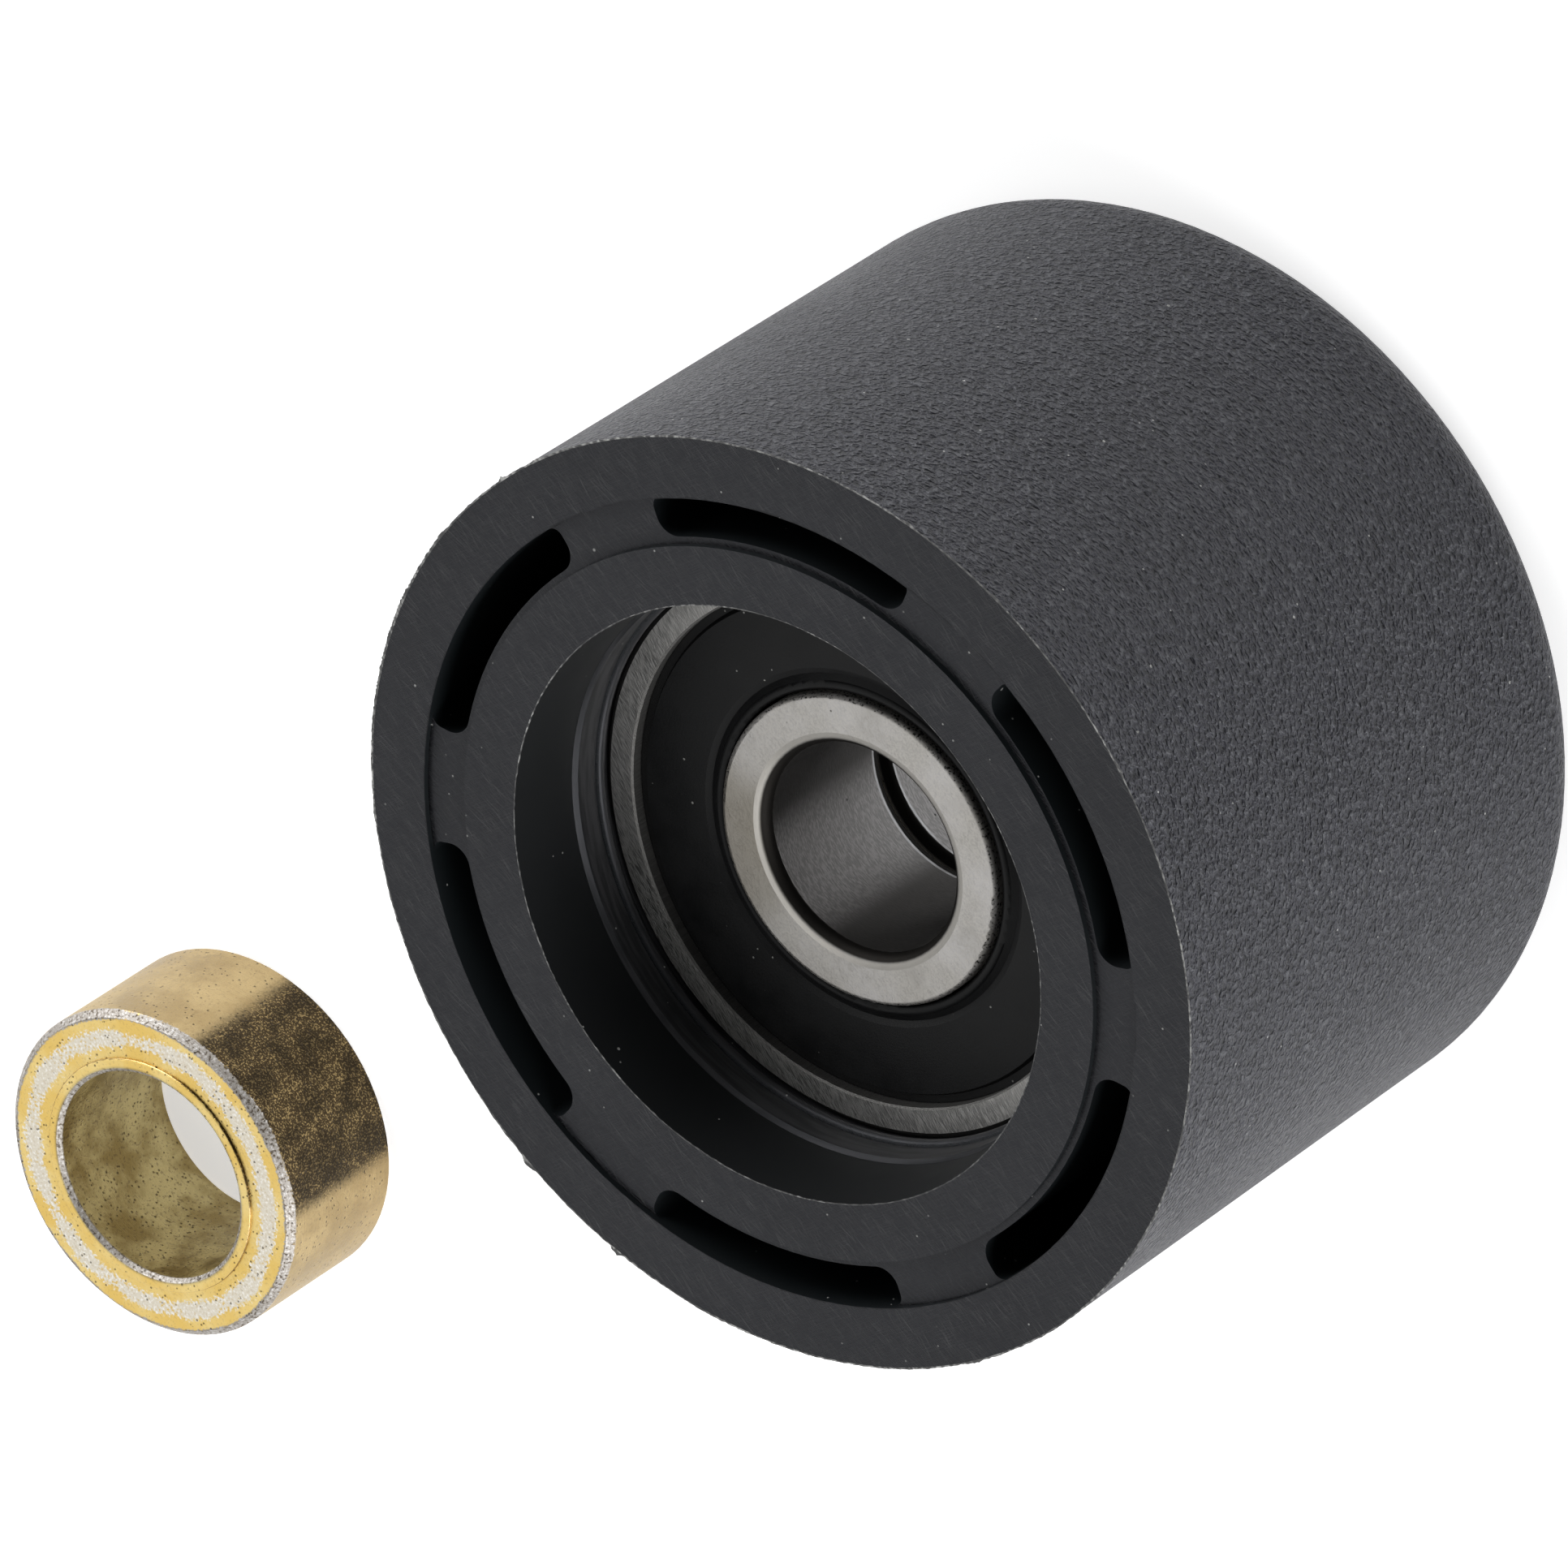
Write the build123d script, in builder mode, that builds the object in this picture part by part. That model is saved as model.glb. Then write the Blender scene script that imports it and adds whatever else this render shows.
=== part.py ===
"""Motorcycle chain roller: a black moulded roller on two sealed ball bearings, with its plated spacer collar.

Millimetres. The bolt runs along Z. The origin is on the bolt axis, where the two bearings touch, and +Z
points out of the open end of the roller, the one that shows its pockets. The roller stands on its closed end.
"""
import os
from math import cos, radians, sin

from build123d import *

# Bearings: two sealed deep-groove bearings of the common 8 x 22 x 7 size, pushed in face to face
bearing_bore = 8.0
bearing_od = 22.0
bearing_width = 7.0
outer_ring_chamfer = 0.3
outer_ring_lip_chamfer = 0.07
outer_ring_wall = 2.05
inner_ring_bore_round = 0.5
inner_ring_corner = 0.2
inner_ring_wall = 1.9

# Clip groove in the outer ring, which holds a seal at each end of the bearing
seal_lip_wall = 1.25
seal_groove_undercut = 0.2
seal_groove_top = 0.55
seal_groove_bottom = 0.95

# Balls, the play that lets them roll in the raceways, and the gap that keeps their cage off the seals
ball_count = 7
ball_play = 0.05
seal_to_cage = 0.2155

# Pressed ribbon cage, in two halves held together by rivets between the balls
cage_sheet = 0.3
cage_band = 1.4
rivet_shank_radius = 0.3
rivet_head_radius = 0.55
rivet_head_height = 0.22

# Seals: rubber moulded over a steel washer, clipped in the outer ring and running close to the inner ring
seal_face_depth = 0.3
seal_rim_depth = 0.5
seal_rim_width = 0.3
seal_bead_fit = 0.02
seal_lip_gap = 0.1
seal_lip_length = 0.35
seal_ridge_width = 0.35
seal_ridge_height = 0.08
seal_channel_width = 0.45
seal_channel_depth = 0.12

# Roller: one moulding, whose tread tube and bearing hub are joined by six ribs and the closed end
roller_diameter = 35.0
roller_width = 24.7
tread_draft = 0.15
rear_edge_round = 2.3
front_recess_depth = 4.9
recess_mouth_margin = 0.24
recess_draft = 2.2
lead_in_depth = 3.2
lead_in_height = 0.2
bearing_seat_fit = 0.01
snap_bead_height = 0.2
snap_bead_length = 0.5
rear_lip_width = 1.31
rear_bore_round = 0.5

# Pockets between the ribs, open at the front and sunk in a shallow ring groove
pocket_count = 6
pocket_phase = 17.2
pocket_angle = 42.2
pocket_width = 1.5
pocket_hub_corner = 0.8
pocket_tread_corner = 0.4
pocket_draft = 0.4
pocket_floor = 4.0
tread_wall = 2.3
groove_margin = 0.26
groove_depth = 0.22

# Spacer collar, shown taken off: it stands on its end beside the roller
collar_od = 13.5
collar_bore = 8.6
collar_length = 6.3
collar_chamfer = 0.25
collar_bore_chamfer = 0.15
collar_rim_width = 0.55
collar_rim_height = 0.12
collar_x = 4.1
collar_y = 54.2

# Sizes that follow from the ones above
inner_ring_shoulder_radius = bearing_bore / 2 + inner_ring_wall
outer_ring_shoulder_radius = bearing_od / 2 - outer_ring_wall
seal_lip_radius = bearing_od / 2 - seal_lip_wall
seal_groove_radius = seal_lip_radius + seal_groove_undercut
seat_radius = bearing_od / 2 + bearing_seat_fit
recess_mouth_radius = seat_radius + recess_mouth_margin
rear_bore_radius = seat_radius - rear_lip_width
pocket_outer_radius = roller_diameter / 2 - tread_wall
pocket_inner_radius = pocket_outer_radius - pocket_width
groove_inner_radius = pocket_inner_radius - groove_margin
front_z = bearing_width + front_recess_depth
rear_z = front_z - roller_width
pitch_radius = (bearing_od + bearing_bore) / 4
half_width = bearing_width / 2
race_radius = half_width - seal_groove_bottom - seal_to_cage - cage_sheet
ball_radius = race_radius - ball_play
bearings = {"front": half_width, "rear": -half_width}
sides = {"upper": 1, "lower": -1}
ball_step = 360 / ball_count
arch_length = 2 * race_radius


def section(height=0.0):
    """Half-section plane through the bolt axis: local x is the radius, local y the height above this one."""
    return Plane(origin=(0, 0, height), x_dir=(1, 0, 0), z_dir=(0, -1, 0))


def polar(radius, angle):
    """Point of a sketch at a radius and an angle in degrees."""
    return (radius * cos(radians(angle)), radius * sin(radians(angle)))


def rims(piece):
    """Level circular edges of a turned piece, in groups from the smallest radius to the largest."""
    return piece.edges().filter_by(GeomType.CIRCLE).filter_by(Plane.XY).group_by(SortBy.RADIUS)


def end_faces(piece):
    """Flat faces at the lower and the upper end of a turned piece."""
    levels = piece.faces().filter_by(Plane.XY).group_by(Axis.Z)
    return levels[0] + levels[-1]


def finish(piece, name):
    """Label a finished piece and write it to its own file."""
    piece.part.label = name
    export_step(piece.part, f"parts/{name}.step")


os.makedirs("parts", exist_ok=True)

# Roller body: the section holds the tread, the ring groove, the recess, the snap bead and the bearing seat
lead_in_z = front_z - lead_in_depth
lead_in_radius = recess_mouth_radius - lead_in_depth * sin(radians(recess_draft))
bead_top_z = bearing_width + snap_bead_length
bead_crest = (seat_radius - snap_bead_height, bearing_width + snap_bead_length / 2)
rear_radius = roller_diameter / 2 - roller_width * sin(radians(tread_draft))
pocket_depth = roller_width - groove_depth - pocket_floor

with BuildPart() as roller_body:
    with BuildSketch(section()):
        with BuildLine():
            Polyline(
                (seat_radius, bearing_width),
                (seat_radius, -bearing_width),
                (rear_bore_radius, -bearing_width),
                (rear_bore_radius, rear_z),
                (rear_radius, rear_z),
                (roller_diameter / 2, front_z),
                (pocket_outer_radius, front_z),
                (pocket_outer_radius, front_z - groove_depth),
                (groove_inner_radius, front_z - groove_depth),
                (groove_inner_radius, front_z),
                (recess_mouth_radius, front_z),
                (lead_in_radius, lead_in_z),
                (seat_radius, lead_in_z - lead_in_height),
                (seat_radius, bead_top_z),
            )
            ThreePointArc((seat_radius, bead_top_z), bead_crest, (seat_radius, bearing_width))
        make_face()
    revolve(axis=Axis.Z)
    rear_face = roller_body.faces().filter_by(Plane.XY).sort_by(Axis.Z)[0]
    fillet(rear_face.outer_wire().edges(), rear_edge_round)
    rear_face = roller_body.faces().filter_by(Plane.XY).sort_by(Axis.Z)[0]
    fillet(rear_face.inner_wires().edges(), rear_bore_round)

    # Curved pockets, whose ends are a little rounded at the tread wall and well rounded at the hub wall
    with BuildSketch(Plane.XY.offset(front_z - groove_depth)):
        with PolarLocations(0, pocket_count, start_angle=pocket_phase):
            with BuildSketch(mode=Mode.PRIVATE) as pocket:
                with BuildLine():
                    CenterArc((0, 0), pocket_outer_radius, -pocket_angle / 2, pocket_angle)
                    CenterArc((0, 0), pocket_inner_radius, -pocket_angle / 2, pocket_angle)
                    for end in (-pocket_angle / 2, pocket_angle / 2):
                        Line(polar(pocket_inner_radius, end), polar(pocket_outer_radius, end))
                make_face()
                fillet(pocket.vertices().sort_by(Axis.X)[:2], pocket_hub_corner)
                fillet(pocket.vertices().sort_by(Axis.X)[-2:], pocket_tread_corner)
            add(pocket.sketch)
    extrude(amount=-pocket_depth, taper=pocket_draft, mode=Mode.SUBTRACT)

finish(roller_body, "roller_body")

for end, mid in bearings.items():
    # Inner ring: bore, shoulders and the raceway, whose section is a circle around the ball's centre
    with BuildPart() as inner_ring:
        with BuildSketch(section(mid)):
            with Locations((bearing_bore / 2, -half_width)):
                Rectangle(inner_ring_shoulder_radius - bearing_bore / 2, bearing_width, align=Align.MIN)
            with Locations((pitch_radius, 0)):
                Circle(race_radius, mode=Mode.SUBTRACT)
        revolve(axis=Axis.Z)
        fillet(rims(inner_ring)[0], inner_ring_bore_round)
        for face in end_faces(inner_ring):
            fillet(face.outer_wire().edges(), inner_ring_corner)
    finish(inner_ring, f"inner_ring_{end}")

    # Outer ring: one half of the section is drawn and mirrored, then the raceway is cut
    with BuildPart() as outer_ring:
        with BuildSketch(section(mid)):
            with BuildLine():
                Polyline(
                    (bearing_od / 2, 0),
                    (bearing_od / 2, half_width),
                    (seal_lip_radius, half_width),
                    (seal_lip_radius, half_width - seal_groove_top),
                    (seal_groove_radius, half_width - seal_groove_top),
                    (seal_groove_radius, half_width - seal_groove_bottom),
                    (outer_ring_shoulder_radius, half_width - seal_groove_bottom),
                    (outer_ring_shoulder_radius, 0),
                    close=True,
                )
            make_face()
            mirror(about=Plane.XZ)
            with Locations((pitch_radius, 0)):
                Circle(race_radius, mode=Mode.SUBTRACT)
        revolve(axis=Axis.Z)
        chamfer(rims(outer_ring)[-1], outer_ring_chamfer)
        for face in end_faces(outer_ring):
            chamfer(face.inner_wires().edges(), outer_ring_lip_chamfer)
    finish(outer_ring, f"outer_ring_{end}")

    # Balls: each rolls about its own axis, so each is a piece of its own
    for number in range(ball_count):
        with BuildPart(Plane.XY.offset(mid)) as ball:
            with PolarLocations(pitch_radius, 1, start_angle=number * ball_step):
                Sphere(ball_radius)
        finish(ball, f"ball_{end}_{number + 1}")

    for side, way in sides.items():
        # Cage half: a flat ribbon pressed into an arch over each ball, with a rivet hole between the balls
        with BuildPart(Plane.XY.offset(mid)) as cage:
            with PolarLocations(pitch_radius, ball_count):
                Cylinder(race_radius + cage_sheet, arch_length, rotation=(0, 90, 0))
            with BuildSketch(Plane.XY.offset(mid)) as ribbon:
                Circle(pitch_radius + cage_band / 2)
                Circle(pitch_radius - cage_band / 2, mode=Mode.SUBTRACT)
            extrude(amount=way * half_width, mode=Mode.INTERSECT)
            extrude(ribbon.sketch, amount=way * cage_sheet)
            with PolarLocations(pitch_radius, ball_count):
                Cylinder(race_radius, arch_length, rotation=(0, 90, 0), mode=Mode.SUBTRACT)
            with PolarLocations(pitch_radius, ball_count, start_angle=ball_step / 2):
                Hole(rivet_shank_radius)
        finish(cage, f"cage_{end}_{side}")

        # Seal: its bead clips under the ring's lip, and a ridge and a channel run round its own lip
        face = -seal_face_depth
        bead_radius = seal_groove_radius - seal_bead_fit
        lip_radius = inner_ring_shoulder_radius + seal_lip_gap
        ridge_end = lip_radius + seal_ridge_width
        channel_end = ridge_end + seal_channel_width
        with BuildPart() as seal:
            seal_plane = Plane(origin=(0, 0, mid + way * half_width), x_dir=(1, 0, 0), z_dir=(0, -way, 0))
            with BuildSketch(seal_plane):
                with BuildLine():
                    Polyline(
                        (lip_radius, face),
                        (lip_radius, face - seal_lip_length),
                        (channel_end, -seal_groove_bottom),
                        (bead_radius, -seal_groove_bottom),
                        (bead_radius, -seal_groove_top - seal_bead_fit),
                        (seal_lip_radius - seal_bead_fit, -seal_groove_top - seal_bead_fit),
                        (seal_lip_radius - seal_bead_fit, -seal_rim_depth),
                        (seal_lip_radius - seal_rim_width, -seal_rim_depth),
                        (seal_lip_radius - seal_rim_width - seal_channel_depth, face),
                        (channel_end, face),
                        (channel_end - seal_channel_width / 2, face - seal_channel_depth),
                        (ridge_end, face),
                    )
                    ThreePointArc(
                        (ridge_end, face),
                        ((lip_radius + ridge_end) / 2, face + seal_ridge_height),
                        (lip_radius, face),
                    )
                make_face()
            revolve(axis=Axis.Z)
        finish(seal, f"seal_{end}_{side}")

    # Rivets: a shank through both cage halves, with a flat head on each
    with BuildPart(Plane.XY.offset(mid)) as rivets:
        with PolarLocations(pitch_radius, ball_count, start_angle=ball_step / 2):
            Cylinder(rivet_shank_radius, 2 * cage_sheet)
        for way in sides.values():
            with BuildSketch(Plane.XY.offset(mid + way * cage_sheet)):
                with PolarLocations(pitch_radius, ball_count, start_angle=ball_step / 2):
                    Circle(rivet_head_radius)
            extrude(amount=way * rivet_head_height)
    finish(rivets, f"cage_rivets_{end}")

# Collar: a short tube, with a low rolled rim round the bore at the end that faces up
with BuildPart(Plane.XY.offset(rear_z)) as collar:
    with Locations((collar_x, collar_y)):
        Cylinder(collar_od / 2, collar_length, align=(Align.CENTER, Align.CENTER, Align.MIN))
        chamfer(rims(collar)[-1], collar_chamfer)
    with BuildSketch(Plane.XY.offset(rear_z + collar_length)):
        with Locations((collar_x, collar_y)):
            Circle(collar_bore / 2 + collar_rim_width)
    extrude(amount=collar_rim_height)
    rim_top = collar.faces().sort_by(Axis.Z)[-1]
    fillet(rim_top.edges(), collar_rim_height / 2)
    with Locations((collar_x, collar_y)):
        Hole(collar_bore / 2)
    chamfer(rims(collar)[0], collar_bore_chamfer)
finish(collar, "collar")
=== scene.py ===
"""Finishes, flash and studio for the motorcycle chain roller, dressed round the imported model, in metres."""
import math

import bmesh
import bpy
from mathutils import Matrix, Vector, noise


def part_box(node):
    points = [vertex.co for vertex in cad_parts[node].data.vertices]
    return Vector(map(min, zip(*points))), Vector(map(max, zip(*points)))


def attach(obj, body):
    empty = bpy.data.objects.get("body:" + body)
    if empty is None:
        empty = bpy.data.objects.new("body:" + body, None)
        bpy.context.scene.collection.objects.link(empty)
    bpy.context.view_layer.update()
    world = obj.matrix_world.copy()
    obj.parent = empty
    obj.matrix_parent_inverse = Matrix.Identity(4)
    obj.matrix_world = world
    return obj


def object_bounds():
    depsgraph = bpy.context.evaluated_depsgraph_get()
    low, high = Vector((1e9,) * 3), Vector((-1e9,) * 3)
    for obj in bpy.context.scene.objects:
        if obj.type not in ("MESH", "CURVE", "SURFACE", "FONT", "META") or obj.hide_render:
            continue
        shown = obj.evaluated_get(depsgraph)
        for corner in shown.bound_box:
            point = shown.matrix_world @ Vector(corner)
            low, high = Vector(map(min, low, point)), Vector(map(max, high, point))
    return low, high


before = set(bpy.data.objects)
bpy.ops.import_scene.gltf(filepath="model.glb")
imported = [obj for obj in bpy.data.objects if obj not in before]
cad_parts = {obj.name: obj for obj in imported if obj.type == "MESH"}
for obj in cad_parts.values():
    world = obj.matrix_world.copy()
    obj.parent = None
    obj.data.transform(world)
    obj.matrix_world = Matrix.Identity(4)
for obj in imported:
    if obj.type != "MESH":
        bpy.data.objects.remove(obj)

cad_low, cad_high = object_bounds()
MM = 0.001

# Camera: a long lens in pixels of the photograph's frame, at a place given in radii of the roller
FRAME_PIXELS = 1932
FOCAL_PIXELS = 18879
SENSOR = 36.0
TILT = math.radians(44.67)
AZIMUTH = math.radians(146.84)
OFFSET_IN_RADII = (-0.0188, 0.2425, 30.2576)
CLIP_START, CLIP_END = 0.01, 10.0

# Studio: brightness of the white walls and of the dark room, and how near to the camera's direction it lies
WHITE_LEVEL = 0.9
ROOM_LEVEL = 0.12
ROOM_EDGE = 0.45
ROOM_HEART = 0.80
FLOOR_HALF = 1.5
FLOOR_GLOW = 0.55

# Soft lights: direction along the camera's right, up and back, and power
LIGHTS = {"key": ((-0.60, 0.75, 0.10), 3.4), "low": ((0.60, -0.70, 0.35), 4.2)}
LIGHT_DISTANCE = 0.5
LIGHT_SIZE = 0.40

# Places on the roller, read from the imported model
BODY_LOW, BODY_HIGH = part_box("roller_body")
ROLLER_RADIUS = BODY_HIGH.x
FRONT = BODY_HIGH.z
FLOOR = min(cad_low.z, BODY_LOW.z)
SHOULDER_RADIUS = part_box("inner_ring_front")[1].x

# Where one finish, painted shade, painted shadow line or painted sheen of the body ends and the next starts:
# radii, and depths below the front face
TREAD_INSIDE = 15.4 * MM
GROOVE_RADIUS = 15.2 * MM
RECESS_WALL = 11.75 * MM
MOUTH_RADIUS = 11.25 * MM
LEAD_IN_DEPTH = 3.2 * MM
POCKET_SHADE = 1.0 * MM

# Bore of the inner rings: radius where its rounded corner starts, and height where it ends near the middle
BORE_CORNER = 4.5 * MM
BORE_INNER_END = 0.52 * MM

# Places on the collar: its bore, the middle of its worn ring, its rubbed rim, and where its painted dark
# patch of shade lies
COLLAR_BORE = 4.4 * MM
WORN_RADIUS = 5.65 * MM
RUBBED_RIM = 0.28 * MM
RUBBED_SIDE = 0.36 * MM
RUBBED_BORE = 0.16 * MM
COLLAR_DARK_PATCH = 265

# Torn flash: how fast it wanders, tears and nicks round the edge, and what share of its reach each takes
FLASH_SEGMENTS = 1440
FLASH_THICKNESS = 0.018 * MM
FLASH_MEAN = 0.40
WANDER_RATE, WANDER_SHARE = 9, 0.4
TEAR_RATE, TEAR_SHARE = 60, 0.5
NICK_RATE, NICK_SHARE = 260, 0.3

# Longer tags on the outer edge: angle and half width in degrees, and reach in millimetres
OUTER_TAGS = (
    (28.0, 26.0, 0.05), (359.0, 0.7, 0.11), (352.8, 0.9, 0.06), (12.5, 1.6, 0.05), (23.8, 2.0, 0.05),
    (53.5, 1.2, 0.05), (99.5, 1.3, 0.14), (114.2, 0.9, 0.15), (166.8, 1.5, 0.05), (262.2, 1.2, 0.10),
    (285.5, 1.0, 0.11), (298.8, 1.0, 0.11),
)


class Graph:
    """The node tree of one material, with short calls for the nodes that it needs."""

    def __init__(self, name):
        self.material = bpy.data.materials.new(name)
        self.material.use_nodes = True
        self.tree = self.material.node_tree
        self.shader = self.tree.nodes["Principled BSDF"]
        self.place = self.add("ShaderNodeTexCoord").outputs["Object"]

    def add(self, kind, **settings):
        node = self.tree.nodes.new(kind)
        for key, value in settings.items():
            setattr(node, key, value)
        return node

    def feed(self, socket, value):
        if isinstance(value, bpy.types.NodeSocket):
            self.tree.links.new(value, socket)
        else:
            socket.default_value = value

    def finish(self, **inputs):
        """Sets or links the shader's inputs, named with _ for a space, and returns the material."""
        for key, value in inputs.items():
            self.feed(self.shader.inputs[key.replace("_", " ")], value)
        return self.material

    def maths(self, operation, a, b=0.0):
        node = self.add("ShaderNodeMath", operation=operation)
        self.feed(node.inputs[0], a)
        self.feed(node.inputs[1], b)
        return node.outputs[0]

    def chain(self, operation, values):
        total = values[0]
        for value in values[1:]:
            total = self.maths(operation, total, value)
        return total

    def plus(self, *values):
        return self.chain("ADD", values)

    def minus(self, a, b):
        return self.maths("SUBTRACT", a, b)

    def times(self, *values):
        return self.chain("MULTIPLY", values)

    def most(self, *values):
        return self.chain("MAXIMUM", values)

    def unsigned(self, value):
        return self.maths("ABSOLUTE", value)

    def length(self, x, y):
        return self.maths("SQRT", self.plus(self.times(x, x), self.times(y, y)))

    def parts(self, vector):
        """The x, y and z of a vector."""
        node = self.add("ShaderNodeSeparateXYZ")
        self.feed(node.inputs[0], vector)
        return node.outputs

    def join(self, x, y, z):
        node = self.add("ShaderNodeCombineXYZ")
        for socket, value in zip(node.inputs, (x, y, z)):
            self.feed(socket, value)
        return node.outputs[0]

    def stretch(self, scale, turn=0.0, shift=(0, 0, 0)):
        """The place on the part turned about Z, in degrees, then scaled along each axis and shifted."""
        node = self.add("ShaderNodeMapping", vector_type="POINT")
        turned = self.add("ShaderNodeVectorRotate", rotation_type="Z_AXIS")
        self.feed(turned.inputs["Vector"], self.place)
        turned.inputs["Angle"].default_value = math.radians(turn)
        self.feed(node.inputs["Vector"], turned.outputs[0])
        node.inputs["Location"].default_value = shift
        node.inputs["Scale"].default_value = scale
        return node.outputs[0]

    def noise(self, size, vector=None, detail=3.0, rough=0.5, warp=0.0):
        """Cloudy noise from 0 to 1, whose lumps are about size metres across."""
        node = self.add("ShaderNodeTexNoise")
        self.feed(node.inputs["Vector"], self.place if vector is None else vector)
        node.inputs["Scale"].default_value = 1 / size
        node.inputs["Detail"].default_value = detail
        node.inputs["Roughness"].default_value = rough
        node.inputs["Distortion"].default_value = warp
        return node.outputs["Fac"]

    def cells(self, size):
        """Distance from the nearest of scattered points, about size metres apart, in units of size."""
        node = self.add("ShaderNodeTexVoronoi", feature="F1")
        self.feed(node.inputs["Vector"], self.place)
        node.inputs["Scale"].default_value = 1 / size
        node.inputs["Randomness"].default_value = 1.0
        return node.outputs["Distance"]

    def fade(self, value, start, end, low=0.0, high=1.0):
        """Goes smoothly from low at start to high at end."""
        node = self.add("ShaderNodeMapRange", interpolation_type="SMOOTHSTEP")
        for socket, number in zip(node.inputs, (value, start, end, low, high)):
            self.feed(socket, number)
        return node.outputs[0]

    def blend(self, share, a, b):
        """Colour a, turning to colour b by the share."""
        node = self.add("ShaderNodeMix", data_type="RGBA")
        self.feed(node.inputs["Factor"], share)
        self.feed(node.inputs[6], a)
        self.feed(node.inputs[7], b)
        return node.outputs[2]

    def mottle(self, cloud, a, b, start=0.3, end=0.7):
        """Colours a and b, mixed by a cloudy noise."""
        return self.blend(self.fade(cloud, start, end), a, b)

    def paint(self, under, mask, over, strength=1.0):
        """A colour laid over another where the mask is one, at a strength."""
        return self.blend(mask if strength == 1.0 else self.times(mask, strength), under, over)

    def level(self, share, a, b):
        """Number a, turning to number b by the share."""
        node = self.add("ShaderNodeMix", data_type="FLOAT")
        self.feed(node.inputs["Factor"], share)
        self.feed(node.inputs[2], a)
        self.feed(node.inputs[3], b)
        return node.outputs[0]

    def relief(self, height, depth, under=None):
        """Normal of a surface whose height, from 0 to 1, stands for the depth in metres."""
        node = self.add("ShaderNodeBump")
        node.inputs["Strength"].default_value = 1.0
        node.inputs["Distance"].default_value = depth
        self.feed(node.inputs["Height"], height)
        if under is not None:
            self.feed(node.inputs["Normal"], under)
        return node.outputs[0]

    def facing(self):
        """How far the surface looks along +Z, from -1 to 1."""
        return self.parts(self.add("ShaderNodeNewGeometry").outputs["Normal"])[2]

    def sector(self, dx, dy, radius, towards, half_angle, soft):
        """One within half_angle degrees of a direction about a vertical axis, softly nought outside it."""
        way = math.radians(towards)
        along = self.plus(self.times(dx, math.cos(way)), self.times(dy, math.sin(way)))
        cosine = self.maths("DIVIDE", along, radius)
        start, end = (math.cos(math.radians(half_angle + side * soft)) for side in (1, -1))
        return self.fade(cosine, start, end)

    def scratches(self, turns, width, length, threshold):
        """Fine straight scratches on level faces, one family along each turn, an angle of the part."""
        families = []
        for i, turn in enumerate(turns):
            along = self.stretch((1 / length, 1 / width, 1.0), -turn, (i * 7.3, i * 3.1, i))
            families.append(self.fade(self.noise(1.0, along, detail=1.0), threshold, threshold + 0.12))
        return self.most(*families)

    def specks(self, spacing, dot, share, patch):
        """Round specks dot metres across and spacing apart, in patches on about a share of the surface."""
        # The patches' noise seldom passes 0.68, so a lower edge lets in a larger share
        reach = dot / spacing
        dots = self.fade(self.cells(spacing), reach * 0.6, reach * 0.35)
        edge = 0.68 - share * 0.3
        return self.times(dots, self.fade(self.noise(patch, detail=1.0), edge, edge + 0.06))


def grey(level, tint=(1.0, 1.0, 1.0)):
    """Linear colour of a level, with a tint."""
    return tuple(level * t for t in tint) + (1.0,)


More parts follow.
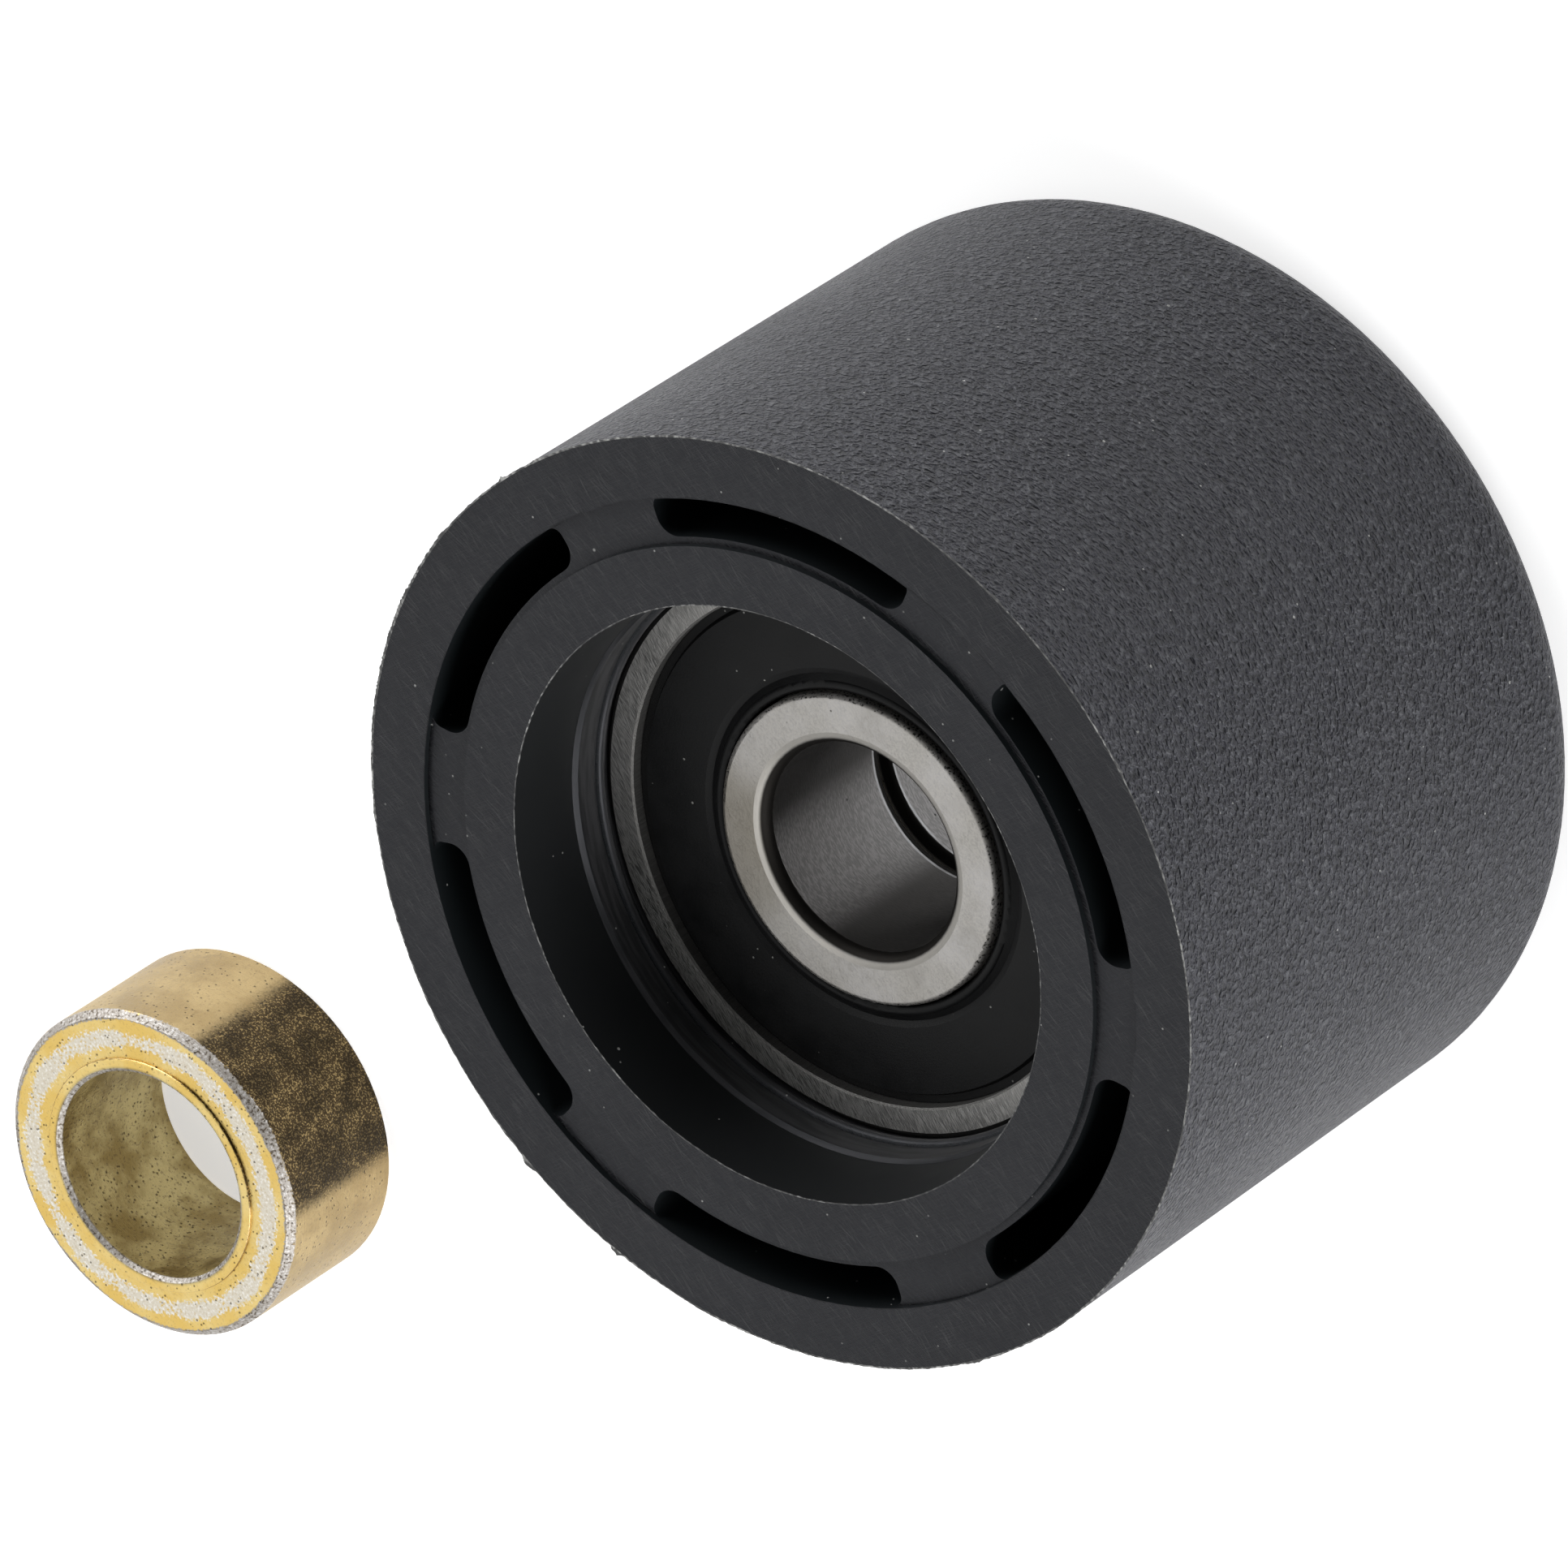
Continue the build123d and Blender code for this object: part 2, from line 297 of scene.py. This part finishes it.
def moulded_black():
    """Glass-filled black plastic: leathery tread with painted highlight and shade on its grain, trimmed and
    scratched faces with a painted shadow line along the groove, recess and pockets painted blacker as shade,
    and a painted sheen below the recess's lead-in.
    """
    g = Graph("moulded_black")
    x, y, z = g.parts(g.place)
    radius = g.length(x, y)
    trimmed = g.fade(g.facing(), 0.6, 0.9)
    slanting = g.minus(1.0, trimmed)
    tread = g.times(g.fade(radius, TREAD_INSIDE, TREAD_INSIDE + 0.2 * MM), slanting)
    cloud = g.noise(6 * MM)

    # Tread: leathery skin, its ridges painted paler and its pits darker: a painted highlight and painted
    # shade on the grain
    skin_place = g.stretch((0.70, 0.70, 1.0))
    ripple = g.noise(0.16 * MM, skin_place, detail=1.0, warp=0.6)
    pebble = g.noise(0.40 * MM, skin_place, detail=1.0)
    skin = g.plus(ripple, g.times(pebble, 0.5))
    tread_colour = g.mottle(cloud, grey(0.0150, (0.96, 0.96, 1.30)), grey(0.0190, (0.99, 0.99, 1.22)))
    tread_colour = g.paint(tread_colour, g.fade(ripple, 0.50, 0.72), grey(0.050, (0.97, 0.99, 1.10)))
    tread_colour = g.paint(tread_colour, g.fade(ripple, 0.48, 0.28), grey(0.004, (0.97, 0.99, 1.15)))

    # Faces: trimmed, with coarse and fine scratches and a painted shadow line along the groove's outer edge
    cuts = g.scratches((16, 5, -8), 0.045 * MM, 1.6 * MM, 0.63)
    fine = g.scratches((12, 24, 80), 0.022 * MM, 0.9 * MM, 0.58)
    cut_colour = g.mottle(cloud, grey(0.0076, (0.96, 1.0, 1.16)), grey(0.0104, (0.96, 1.0, 1.14)))
    cut_colour = g.paint(cut_colour, cuts, grey(0.090), 0.40)
    cut_colour = g.paint(cut_colour, fine, grey(0.070), 0.16)
    colour = g.blend(trimmed, tread_colour, cut_colour)
    # Painted shadow: a thin dark line where the groove steps down from the face
    wander = g.times(g.minus(g.noise(1.2 * MM), 0.5), 0.15 * MM)
    off_groove_line = g.unsigned(g.minus(g.plus(radius, wander), GROOVE_RADIUS))
    groove_shadow_line = g.times(g.fade(off_groove_line, 0.06 * MM, 0.02 * MM), g.fade(g.noise(0.8 * MM), 0.38, 0.52), trimmed)
    colour = g.paint(colour, groove_shadow_line, grey(0.001))

    # Pockets and recess: painted blacker, as shade, with a streaky painted sheen on the band below the
    # recess's lead-in
    inside = g.times(g.fade(radius, TREAD_INSIDE, TREAD_INSIDE - 0.1 * MM), slanting)
    sunk = g.times(trimmed, g.fade(z, FRONT - POCKET_SHADE, FRONT - 2 * POCKET_SHADE))
    colour = g.paint(colour, g.most(inside, sunk), grey(0.006, (0.75, 1.0, 1.1)))
    wall = g.times(g.fade(radius, RECESS_WALL, RECESS_WALL - 0.2 * MM), slanting)
    colour = g.paint(colour, wall, grey(0.006, (0.9, 1.0, 1.05)))
    # Painted sheen: the band below the lead-in painted lighter, in rough streaks
    band_top = FRONT - LEAD_IN_DEPTH
    band = g.times(wall, g.fade(z, band_top + 0.02 * MM, band_top - 0.04 * MM))
    sheen_streaks = g.fade(g.noise(0.5 * MM, g.stretch((0.25, 0.25, 2.5)), detail=4.0), 0.36, 0.62, 0.25, 1.0)
    colour = g.paint(colour, g.times(band, sheen_streaks), grey(0.026, (1.0, 1.0, 1.06)))

    dust = g.most(g.specks(0.6 * MM, 0.08 * MM, 0.45, 1.6 * MM), g.specks(1.5 * MM, 0.12 * MM, 0.6, 3.0 * MM))
    colour = g.paint(colour, dust, grey(0.34, (1.0, 1.0, 0.96)), 0.8)
    rough = g.level(trimmed, g.fade(cloud, 0.2, 0.8, 0.40, 0.50), g.fade(fine, 0.0, 1.0, 0.26, 0.50))
    lines = g.times(g.plus(g.times(fine, 0.5), cuts), trimmed)
    normal = g.relief(lines, 0.005 * MM, g.relief(g.times(skin, tread), 0.38 * MM))
    return g.finish(Base_Color=colour, Roughness=rough, Normal=normal, Specular_IOR_Level=0.3,
                    Specular_Tint=(0.90, 0.92, 1.0, 1.0))


def inner_ring_steel():
    """Ground bearing steel: warm speckled faces with a painted golden reflection on one side, a bore ground
    round and round with painted shade and a painted highlight line, a painted pale strip and dark band on the
    bore's rounded corner, and scale left on the outer corner.
    """
    g = Graph("inner_ring_steel")
    warm, pale, dark = (1.0, 0.965, 0.90), (1.0, 0.975, 0.955), (1.0, 0.93, 0.86)
    neutral = (1.0, 0.975, 0.975)
    x, y, z = g.parts(g.place)
    radius, up = g.length(x, y), g.unsigned(g.facing())
    face = g.fade(up, 0.90, 0.97)
    near_bore = g.fade(radius, BORE_CORNER + 0.06 * MM, BORE_CORNER)
    corner = g.times(near_bore, g.fade(up, 0.95, 0.80), g.fade(up, 0.0, 0.14))
    strip = g.times(near_bore, g.fade(up, 0.9995, 0.995), g.fade(up, 0.80, 0.95))
    bore = g.times(near_bore, g.fade(up, 0.14, 0.0))
    near_shoulder = g.fade(radius, SHOULDER_RADIUS - 0.25 * MM, SHOULDER_RADIUS - 0.15 * MM)
    outer_corner = g.times(near_shoulder, g.fade(up, 0.96, 0.86))

    cloud = g.noise(2.2 * MM, detail=4.0)
    grain = g.noise(0.09 * MM)
    ground = g.noise(0.06 * MM, g.stretch((0.28, 0.28, 1.0)), detail=2.0)
    lap = g.scratches((10, 150), 0.03 * MM, 0.5 * MM, 0.6)
    marks = g.times(g.specks(0.5 * MM, 0.10 * MM, 0.35, 1.2 * MM), g.fade(grain, 0.3, 0.5))
    stain = g.times(g.fade(g.noise(1.6 * MM), 0.50, 0.66), g.fade(grain, 0.42, 0.56))

    # Face, with a faint stain and, on one side, a painted golden reflection of the collar
    colour = g.mottle(cloud, grey(0.40, warm), grey(0.50, pale))
    colour = g.paint(colour, g.fade(grain, 0.35, 0.65, 0.0, 0.45), grey(0.66, warm))
    colour = g.paint(colour, stain, grey(0.16, dark), 0.20)
    # Painted reflection: the collar's gold, mirrored on one side of the front ring's face
    collar_reflection = g.times(g.sector(x, y, radius, 60, 22, 20), g.fade(z, 0.0, 1.0 * MM, 0.0, 0.6))
    colour = g.paint(colour, collar_reflection, grey(0.22, (1.0, 0.88, 0.66)))

    # Bore: painted shade, the front ring's bore darker outside one sector and the rear ring's left bright,
    # and a painted highlight line at the inner end of each ring
    bore_colour = g.mottle(ground, grey(0.40, (1.0, 0.985, 0.975)), grey(0.66, neutral), 0.38, 0.66)
    # Painted shade and light: the bore left bright only within one sector and on the rear ring
    lit_bore = g.most(g.sector(x, y, radius, 84, 24, 16), g.fade(z, 0.5 * MM, -0.5 * MM))
    bore_colour = g.blend(lit_bore, grey(0.17, (1.0, 0.98, 0.95)), bore_colour)
    colour = g.paint(colour, bore, bore_colour)
    # Painted highlight: a bright line round the bore where each ring's bore ends near the middle
    off_end = g.unsigned(g.minus(g.unsigned(z), BORE_INNER_END))
    bore_end_highlight = g.times(near_bore, g.fade(off_end, 0.10 * MM, 0.06 * MM), g.fade(cloud, 0.3, 0.5))
    colour = g.paint(colour, bore_end_highlight, grey(0.95, (0.97, 0.98, 1.0)))

    # Corners: on the bore's rounded corner a pale strip, brighter in one sector, and a black band, a painted
    # highlight and painted shade; specks of scale on the outer corner
    strip_highlight_colour = g.blend(g.sector(x, y, radius, 75, 50, 30), grey(0.46, warm), grey(0.74, warm))
    colour = g.paint(colour, strip, strip_highlight_colour)
    colour = g.paint(colour, corner, grey(0.030, dark))
    colour = g.paint(colour, g.times(outer_corner, g.fade(grain, 0.46, 0.36)), grey(0.05, dark))
    colour = g.paint(colour, marks, grey(0.015), 0.85)

    rough = g.level(face, g.fade(ground, 0.3, 0.7, 0.30, 0.44), g.fade(grain, 0.3, 0.7, 0.34, 0.48))
    rough = g.level(g.most(strip, corner, outer_corner), rough, 0.62)
    height = g.level(face, ground, g.plus(grain, g.times(lap, 0.5)))
    return g.finish(Base_Color=colour, Metallic=1.0, Roughness=rough, Normal=g.relief(height, 0.004 * MM))


def outer_ring_steel():
    """Lapped bearing steel: oblique brushing, small dark specks, corners painted darker as shade, and
    rougher.
    """
    g = Graph("outer_ring_steel")
    tint = (1.0, 0.985, 0.95)
    brushing = g.scratches((172, 180, 166), 0.035 * MM, 0.6 * MM, 0.52)
    cloud = g.noise(2.6 * MM, detail=4.0)
    marks = g.specks(0.4 * MM, 0.06 * MM, 0.35, 1.1 * MM)
    slanted = g.fade(g.unsigned(g.facing()), 0.95, 0.85)
    colour = g.mottle(cloud, grey(0.28, tint), grey(0.38, tint))
    colour = g.paint(colour, brushing, grey(0.70, tint), 0.65)
    colour = g.paint(colour, marks, grey(0.08, tint), 0.7)
    # Painted shade: the slanted corners darkened, which tones down their highlight
    colour = g.paint(colour, slanted, grey(0.11, tint), 0.9)
    rough = g.level(slanted, g.fade(brushing, 0.0, 1.0, 0.30, 0.42), 0.6)
    normal = g.relief(g.plus(brushing, g.times(g.noise(0.08 * MM), 0.5)), 0.004 * MM)
    return g.finish(Base_Color=colour, Metallic=1.0, Roughness=rough, Normal=normal)


def plain_steel(name, level, roughness):
    """Steel of the balls and cages: faint clouding and a fine grain."""
    g = Graph(name)
    cloud = g.noise(1.5 * MM, detail=4.0)
    grain = g.noise(0.12 * MM, detail=2.0)
    colour = g.mottle(cloud, grey(level * 0.88, (1.0, 0.99, 0.97)), grey(level, (1.0, 1.0, 0.99)))
    rough = g.fade(grain, 0.3, 0.7, roughness * 0.8, roughness * 1.2)
    return g.finish(Base_Color=colour, Metallic=1.0, Roughness=rough, Normal=g.relief(grain, 0.001 * MM))


def seal_rubber():
    """Black satin rubber with faint moulding rings and pale dust."""
    g = Graph("seal_rubber")
    x, y, _ = g.parts(g.place)
    rings = g.noise(1.0, g.join(g.maths("DIVIDE", g.length(x, y), 0.08 * MM), 0.0, 0.0), detail=1.0)
    cloud = g.noise(1.5 * MM, detail=4.0)
    dust = g.most(g.specks(0.6 * MM, 0.08 * MM, 0.55, 0.9 * MM), g.specks(1.2 * MM, 0.10 * MM, 0.7, 2.0 * MM))
    colour = g.mottle(cloud, grey(0.0045, (0.95, 1.0, 1.08)), grey(0.0075, (0.97, 1.0, 1.05)))
    colour = g.paint(colour, dust, grey(0.32, (1.0, 1.0, 0.95)), 0.8)
    normal = g.relief(g.plus(g.noise(0.09 * MM, detail=2.0), g.times(rings, 0.3)), 0.005 * MM)
    return g.finish(Base_Color=colour, Roughness=g.fade(cloud, 0.2, 0.8, 0.36, 0.5), Normal=normal,
                    Specular_IOR_Level=0.2)


def collar_plated_steel():
    """Yellow plated steel: amber clouding, brown speckle, a pale worn ring, edges rubbed grey, and a side
    darker than the face with a painted dark patch of shade.
    """
    g = Graph("collar_plated_steel")
    low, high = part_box("collar")
    centre = (low + high) / 2
    outer = (high.x - low.x) / 2
    x, y, z = g.parts(g.place)
    dx, dy = g.minus(x, centre.x), g.minus(y, centre.y)
    radius = g.length(dx, dy)
    up = g.fade(g.facing(), 0.6, 0.9)
    inside = g.fade(radius, COLLAR_BORE + 0.2 * MM, COLLAR_BORE)
    cloud = g.noise(2.0 * MM, detail=4.0, rough=0.6)
    grain = g.noise(0.12 * MM)
    pits = g.specks(0.24 * MM, 0.10 * MM, 0.8, 1.0 * MM)
    bright_grain, dark_grain = g.fade(grain, 0.52, 0.68), g.fade(grain, 0.46, 0.34)
    ragged = g.plus(g.times(cloud, 1.8), g.times(grain, 1.8))

    # Face, with its pale worn ring
    face_colour = g.mottle(cloud, grey(0.86, (1.0, 0.70, 0.20)), grey(0.92, (1.0, 0.78, 0.32)), 0.35, 0.65)
    worn = g.times(g.fade(radius, WORN_RADIUS - 0.7 * MM, WORN_RADIUS - 0.1 * MM),
                   g.fade(radius, WORN_RADIUS + 0.7 * MM, WORN_RADIUS + 0.1 * MM))
    worn_colour = g.blend(bright_grain, grey(0.80, (1.0, 0.93, 0.78)), grey(0.97, (1.0, 0.97, 0.90)))
    face_colour = g.paint(face_colour, g.fade(g.plus(worn, ragged), 2.28, 2.62), worn_colour)
    face_colour = g.paint(face_colour, dark_grain, grey(0.40, (1.0, 0.66, 0.30)), 0.25)

    # Side, darker than the face, with a painted dark patch of shade strewn with golden dots
    side_colour = g.mottle(cloud, grey(0.37, (1.0, 0.73, 0.35)), grey(0.48, (1.0, 0.76, 0.39)), 0.35, 0.65)
    side_colour = g.paint(side_colour, dark_grain, grey(0.22, (1.0, 0.66, 0.32)), 0.30)
    haze = g.fade(g.noise(0.9 * MM), 0.35, 0.65)
    dots = g.times(g.fade(g.noise(0.075 * MM, detail=2.0), 0.50, 0.66), g.fade(haze, 0.0, 1.0, 0.35, 1.0))
    # Painted shade: a dark patch over one sector of the side, with soft ragged edges
    dark_patch = g.plus(g.sector(dx, dy, radius, COLLAR_DARK_PATCH, 33, 9), g.times(ragged, 0.27))
    dark_patch_colour = g.blend(haze, grey(0.015, (1.0, 0.68, 0.38)), grey(0.040, (1.0, 0.66, 0.32)))
    dark_patch_colour = g.paint(dark_patch_colour, dots, grey(0.30, (1.0, 0.72, 0.32)))
    side_colour = g.paint(side_colour, g.fade(dark_patch, 0.60, 1.30, 0.0, 0.97), dark_patch_colour)

    bore_colour = g.mottle(cloud, grey(0.28, (1.0, 0.74, 0.28)), grey(0.60, (1.0, 0.84, 0.42)), 0.35, 0.65)
    bore_colour = g.paint(bore_colour, dark_grain, grey(0.12, (1.0, 0.66, 0.34)), 0.5)
    colour = g.paint(g.blend(up, side_colour, face_colour), inside, bore_colour)

    # Edges, rubbed bare
    wander = g.times(g.minus(g.plus(cloud, grain), 1.0), 0.25 * MM)
    ragged_radius, ragged_height = g.plus(radius, wander), g.plus(z, wander)
    rim = g.fade(ragged_radius, outer - RUBBED_RIM - 0.08 * MM, outer - RUBBED_RIM)
    ends = g.most(g.fade(ragged_height, high.z - RUBBED_SIDE - 0.08 * MM, high.z - RUBBED_SIDE),
                  g.fade(z, low.z + 0.3 * MM, low.z))
    bore_rim = g.times(g.fade(radius, COLLAR_BORE + 0.10 * MM, COLLAR_BORE + 0.02 * MM),
                       g.fade(z, high.z - RUBBED_BORE - 0.08 * MM, high.z - RUBBED_BORE))
    edge = g.most(g.times(rim, ends), bore_rim)
    rubbed = g.blend(bright_grain, grey(0.38, (1.0, 0.93, 0.85)), grey(0.58, (1.0, 0.97, 0.94)))
    rubbed = g.paint(rubbed, dark_grain, grey(0.13, (1.0, 0.82, 0.64)))
    colour = g.paint(colour, g.times(edge, g.fade(cloud, 0.15, 0.35, 0.7, 1.0)), rubbed)
    colour = g.paint(colour, pits, grey(0.05, (1.0, 0.75, 0.45)), 0.7)

    rough = g.level(edge, g.fade(g.plus(cloud, grain), 0.7, 1.3, 0.32, 0.50), 0.62)
    turning = g.join(0.0, g.maths("DIVIDE", radius, 0.1 * MM), g.maths("DIVIDE", z, 0.035 * MM))
    normal = g.relief(g.plus(grain, g.noise(1.0, turning), g.times(pits, -1.0)), 0.012 * MM)
    return g.finish(Base_Color=colour, Metallic=1.0, Roughness=rough, Normal=normal)


def flash_plastic():
    """Torn edges of the moulding, paler where the plastic has been stretched."""
    g = Graph("flash_plastic")
    pale = g.fade(g.noise(0.22 * MM), 0.40, 0.68)
    patch = g.fade(g.noise(3.0 * MM, detail=2.0), 0.35, 0.65, 0.25, 1.0)
    colour = g.blend(g.times(pale, patch), grey(0.04), grey(0.42, (1.0, 1.0, 0.97)))
    return g.finish(Base_Color=colour, Roughness=g.fade(pale, 0.0, 1.0, 0.45, 0.65))


def studio_floor():
    """Plain pale floor, a sheet of white acrylic with a little light of its own."""
    g = Graph("studio_floor")
    return g.finish(Base_Color=grey(0.80), Roughness=0.9, Specular_IOR_Level=0.1,
                    Emission_Color=grey(1.0), Emission_Strength=FLOOR_GLOW)


def dress():
    """Gives each carried-over node the finish of its kind, the first word of its name."""
    finishes = {
        "roller": moulded_black(),
        "inner": inner_ring_steel(),
        "outer": outer_ring_steel(),
        "seal": seal_rubber(),
        "cage": plain_steel("cage_steel", 0.50, 0.36),
        "ball": plain_steel("ball_steel", 0.66, 0.10),
        "collar": collar_plated_steel(),
    }
    for name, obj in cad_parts.items():
        obj.data.materials.clear()
        obj.data.materials.append(finishes[name.split("_")[0]])


def place_mesh(name, data, material):
    """An object of the scene that shows a mesh in a material."""
    obj = bpy.data.objects.new(name, data)
    bpy.context.scene.collection.objects.link(obj)
    data.materials.append(material)
    return obj


def ragged_ring(name, material, radius, level, reach, drop, seed, side=1, width=0.04 * MM, tags=()):
    """Thin torn flash left round a circular edge: a ring whose free edge wanders, with a few longer tags.

    The free edge stands up to about reach outside the circle, or inside it where side is -1, and falls by
    drop. Its root is width back from the circle, at the height level.
    """
    mesh = bmesh.new()
    sections = []
    lift = Vector((0, 0, FLASH_THICKNESS / 2))
    for i in range(FLASH_SEGMENTS):
        angle = 2 * math.pi * i / FLASH_SEGMENTS
        way = Vector((math.cos(angle), math.sin(angle), 0.0))
        wander = noise.noise(way * WANDER_RATE + Vector((0, 0, seed)))
        tear = noise.noise(way * TEAR_RATE + Vector((0, seed, 0)))
        nick = noise.noise(way * NICK_RATE + Vector((seed, 0, 0)))
        share = FLASH_MEAN + WANDER_SHARE * wander + TEAR_SHARE * tear + NICK_SHARE * nick
        out = reach * max(0.0, share)
        for place, half_width, extra in tags:
            gap = abs((math.degrees(angle) - place + 180) % 360 - 180) / half_width
            if gap < 1:
                out += extra * MM * (1 - gap * gap) * (0.8 + 0.5 * nick)
        root = way * (radius - side * width) + Vector((0, 0, level))
        free = way * (radius + side * out) + Vector((0, 0, level + drop * out / reach))
        corners = (root - lift, free - lift * 0.4, free + lift * 0.4, root + lift)
        sections.append([mesh.verts.new(corner) for corner in corners])
    for here, after in zip(sections, sections[1:] + sections[:1]):
        for k in range(4):
            mesh.faces.new((here[k], here[(k + 1) % 4], after[(k + 1) % 4], after[k]))
    bmesh.ops.recalc_face_normals(mesh, faces=mesh.faces)
    data = bpy.data.meshes.new(name)
    mesh.to_mesh(data)
    mesh.free()
    obj = place_mesh(name, data, material)
    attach(obj, "roller")


def add_flash():
    """Flash along the outer edge of the front face, and a finer burr round the mouth of the recess."""
    material = flash_plastic()
    ragged_ring("front_edge_flash", material, radius=ROLLER_RADIUS, level=FRONT - 0.006 * MM,
                reach=0.05 * MM, drop=0.01 * MM, seed=3.7, tags=OUTER_TAGS)
    ragged_ring("mouth_burr", material, radius=MOUTH_RADIUS, level=FRONT - 0.004 * MM,
                reach=0.03 * MM, drop=-0.01 * MM, seed=8.1, side=-1, width=0.025 * MM)


def view_axes():
    """Right, up and back of the photograph's camera, in the part's frame."""
    flat = math.sin(TILT)
    axis = Vector((flat * math.cos(AZIMUTH), flat * math.sin(AZIMUTH), -math.cos(TILT)))
    across = Vector((0, 0, 1)).cross(axis).normalized()
    down = axis.cross(across)
    right, low, ahead = (Vector((across[i], down[i], axis[i])) for i in range(3))
    return right, -low, -ahead


def add_camera():
    """The photograph's camera, aimed along its own axis and placed from the middle of the front face."""
    right, up, back = view_axes()
    lens = bpy.data.cameras.new("camera")
    lens.sensor_width = SENSOR
    lens.lens = FOCAL_PIXELS / FRAME_PIXELS * SENSOR
    lens.clip_start, lens.clip_end = CLIP_START, CLIP_END
    camera = bpy.data.objects.new("camera", lens)
    bpy.context.scene.collection.objects.link(camera)
    x, y, z = (v * ROLLER_RADIUS for v in OFFSET_IN_RADII)
    place = Vector((0, 0, FRONT)) - right * x + up * y + back * z
    camera.matrix_world = Matrix.Translation(place) @ Matrix((right, up, back)).transposed().to_4x4()
    bpy.context.scene.camera = camera


def softbox(name, towards, power):
    """A square area light that looks at the roller from a direction along the camera's right, up and back."""
    right, up, back = view_axes()
    way = (right * towards[0] + up * towards[1] + back * towards[2]).normalized()
    lamp = bpy.data.lights.new(name, "AREA")
    lamp.size = LIGHT_SIZE
    lamp.energy = power
    obj = bpy.data.objects.new(name, lamp)
    bpy.context.scene.collection.objects.link(obj)
    obj.location = way * LIGHT_DISTANCE
    obj.rotation_mode = "QUATERNION"
    obj.rotation_quaternion = (-way).to_track_quat("-Z", "Y")


def surroundings():
    """A white studio all round, with a dark room behind the camera that the shiny faces mirror."""
    world = bpy.data.worlds.new("studio")
    world.use_nodes = True
    nodes, links = world.node_tree.nodes, world.node_tree.links
    way = nodes.new("ShaderNodeTexCoord").outputs["Generated"]
    towards = nodes.new("ShaderNodeVectorMath")
    towards.operation = "DOT_PRODUCT"
    towards.inputs[1].default_value = view_axes()[2]
    links.new(way, towards.inputs[0])
    room = nodes.new("ShaderNodeMapRange")
    room.interpolation_type = "SMOOTHSTEP"
    for socket, number in zip(room.inputs, (0.0, ROOM_EDGE, ROOM_HEART, WHITE_LEVEL, ROOM_LEVEL)):
        socket.default_value = number
    links.new(towards.outputs["Value"], room.inputs["Value"])
    links.new(room.outputs[0], nodes["Background"].inputs["Strength"])
    nodes["Background"].inputs["Color"].default_value = grey(1.0)
    bpy.context.scene.world = world


def add_studio():
    """The surroundings, the soft lights and the floor."""
    bpy.context.scene.view_settings.view_transform = "Standard"
    surroundings()
    for name, (towards, power) in LIGHTS.items():
        softbox(name, towards, power)
    corners = [(x * FLOOR_HALF, y * FLOOR_HALF, FLOOR) for x, y in ((-1, -1), (1, -1), (1, 1), (-1, 1))]
    data = bpy.data.meshes.new("floor")
    data.from_pydata(corners, [], [(0, 1, 2, 3)])
    floor = place_mesh("floor", data, studio_floor())


dress()
add_flash()
add_camera()
add_studio()
